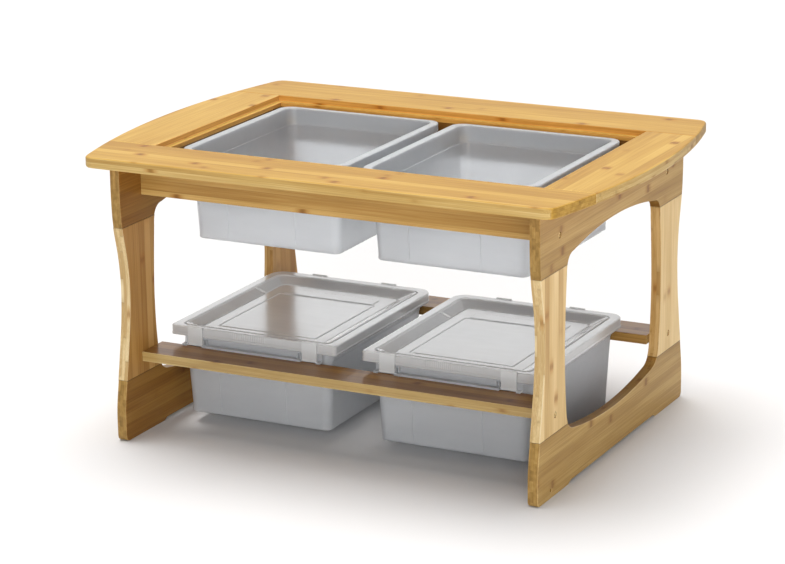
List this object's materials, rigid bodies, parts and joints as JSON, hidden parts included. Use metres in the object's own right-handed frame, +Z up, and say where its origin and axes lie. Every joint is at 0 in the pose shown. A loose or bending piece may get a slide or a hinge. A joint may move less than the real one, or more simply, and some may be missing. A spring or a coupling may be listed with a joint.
{
  "type": "sensory play table",
  "caption": "Low bamboo play table with a framed opening that holds lift-out translucent bins, and lidded bins with side clips hung between two boards below.",
  "frame": {"origin": "on the floor, under the middle of the table", "axes": "+X along the table's length to the right, -Y towards the front, +Z up"},
  "size_m": [1.006, 0.7272, 0.54],
  "materials": {
    "bamboo_top": "satin clear-lacquered laminated bamboo",
    "bamboo_side": "satin lacquered laminated bamboo",
    "frosted_plastic": "frosted translucent polypropylene",
    "lid_plastic": "smooth translucent polypropylene",
    "clip_plastic": "milky polypropylene",
    "brass": "brass plated",
    "zinc": "zinc plated"
  },
  "bodies": {
    "frame": {"top_board_front": "bamboo_top", "top_board_rear": "bamboo_top", "top_board_left": "bamboo_top", "top_board_right": "bamboo_top", "apron_front": "bamboo_side", "apron_rear": "bamboo_side", "bin_cleat_front": "bamboo_side", "bin_cleat_rear": "bamboo_side", "cleat_screw_front_1": "zinc", "cleat_screw_front_2": "zinc", "cleat_screw_front_3": "zinc", "cleat_screw_rear_1": "zinc", "cleat_screw_rear_2": "zinc", "cleat_screw_rear_3": "zinc", "lower_board_front": "bamboo_side", "lower_board_rear": "bamboo_side", "top_rail_left": "bamboo_side", "bottom_rail_left": "bamboo_side", "front_post_left": "bamboo_side", "rear_post_left": "bamboo_side", "top_rail_right": "bamboo_side", "bottom_rail_right": "bamboo_side", "front_post_right": "bamboo_side", "rear_post_right": "bamboo_side", "apron_bolt_front_left": "brass", "apron_barrel_nut_front_left": "zinc", "board_bolt_front_left": "brass", "board_barrel_nut_front_left": "zinc", "apron_bolt_rear_left": "brass", "apron_barrel_nut_rear_left": "zinc", "board_bolt_rear_left": "brass", "board_barrel_nut_rear_left": "zinc", "apron_bolt_front_right": "brass", "apron_barrel_nut_front_right": "zinc", "board_bolt_front_right": "brass", "board_barrel_nut_front_right": "zinc", "apron_bolt_rear_right": "brass", "apron_barrel_nut_rear_right": "zinc", "board_bolt_rear_right": "brass", "board_barrel_nut_rear_right": "zinc"},
    "upper_bin_left": {"upper_bin_left": "frosted_plastic"},
    "lower_bin_left": {"lower_bin_left": "frosted_plastic"},
    "lid_left": {"lid_left": "lid_plastic"},
    "clip_left_front_left": {"clip_left_front_left": "clip_plastic"},
    "clip_left_front_right": {"clip_left_front_right": "clip_plastic"},
    "clip_left_rear_left": {"clip_left_rear_left": "clip_plastic"},
    "clip_left_rear_right": {"clip_left_rear_right": "clip_plastic"},
    "upper_bin_right": {"upper_bin_right": "frosted_plastic"},
    "lower_bin_right": {"lower_bin_right": "frosted_plastic"},
    "lid_right": {"lid_right": "lid_plastic"},
    "clip_right_front_left": {"clip_right_front_left": "clip_plastic"},
    "clip_right_front_right": {"clip_right_front_right": "clip_plastic"},
    "clip_right_rear_left": {"clip_right_rear_left": "clip_plastic"},
    "clip_right_rear_right": {"clip_right_rear_right": "clip_plastic"}
  },
  "joints": [
    {"name": "upper_bin_left_lift", "type": "slide", "parent": "frame", "child": "upper_bin_left", "axis": [0, 0, 1], "range_m": [0, 0.2]},
    {"name": "upper_bin_right_lift", "type": "slide", "parent": "frame", "child": "upper_bin_right", "axis": [0, 0, 1], "range_m": [0, 0.2]},
    {"name": "lower_bin_left_lift", "type": "slide", "parent": "frame", "child": "lower_bin_left", "axis": [0, 0, 1], "range_m": [0, 0.12]},
    {"name": "lid_left_lift", "type": "slide", "parent": "lower_bin_left", "child": "lid_left", "axis": [0, 0, 1], "range_m": [0, 0.04]},
    {"name": "lower_bin_right_lift", "type": "slide", "parent": "frame", "child": "lower_bin_right", "axis": [0, 0, 1], "range_m": [0, 0.12]},
    {"name": "lid_right_lift", "type": "slide", "parent": "lower_bin_right", "child": "lid_right", "axis": [0, 0, 1], "range_m": [0, 0.04]},
    {"name": "clip_left_front_left_hinge", "type": "hinge", "parent": "lid_left", "child": "clip_left_front_left", "pos_m": [-0.331, -0.2022, 0.1911], "axis": [-1, 0, 0], "range_deg": [0, 80]},
    {"name": "clip_left_front_right_hinge", "type": "hinge", "parent": "lid_left", "child": "clip_left_front_right", "pos_m": [-0.091, -0.2022, 0.1911], "axis": [-1, 0, 0], "range_deg": [0, 80]},
    {"name": "clip_left_rear_left_hinge", "type": "hinge", "parent": "lid_left", "child": "clip_left_rear_left", "pos_m": [-0.287, 0.2022, 0.1911], "axis": [1, 0, 0], "range_deg": [0, 80]},
    {"name": "clip_left_rear_right_hinge", "type": "hinge", "parent": "lid_left", "child": "clip_left_rear_right", "pos_m": [-0.135, 0.2022, 0.1911], "axis": [1, 0, 0], "range_deg": [0, 80]},
    {"name": "clip_right_front_left_hinge", "type": "hinge", "parent": "lid_right", "child": "clip_right_front_left", "pos_m": [0.068, -0.2022, 0.1911], "axis": [-1, 0, 0], "range_deg": [0, 80]},
    {"name": "clip_right_front_right_hinge", "type": "hinge", "parent": "lid_right", "child": "clip_right_front_right", "pos_m": [0.308, -0.2022, 0.1911], "axis": [-1, 0, 0], "range_deg": [0, 80]},
    {"name": "clip_right_rear_left_hinge", "type": "hinge", "parent": "lid_right", "child": "clip_right_rear_left", "pos_m": [0.112, 0.2022, 0.1911], "axis": [1, 0, 0], "range_deg": [0, 80]},
    {"name": "clip_right_rear_right_hinge", "type": "hinge", "parent": "lid_right", "child": "clip_right_rear_right", "pos_m": [0.264, 0.2022, 0.1911], "axis": [1, 0, 0], "range_deg": [0, 80]}
  ]
}
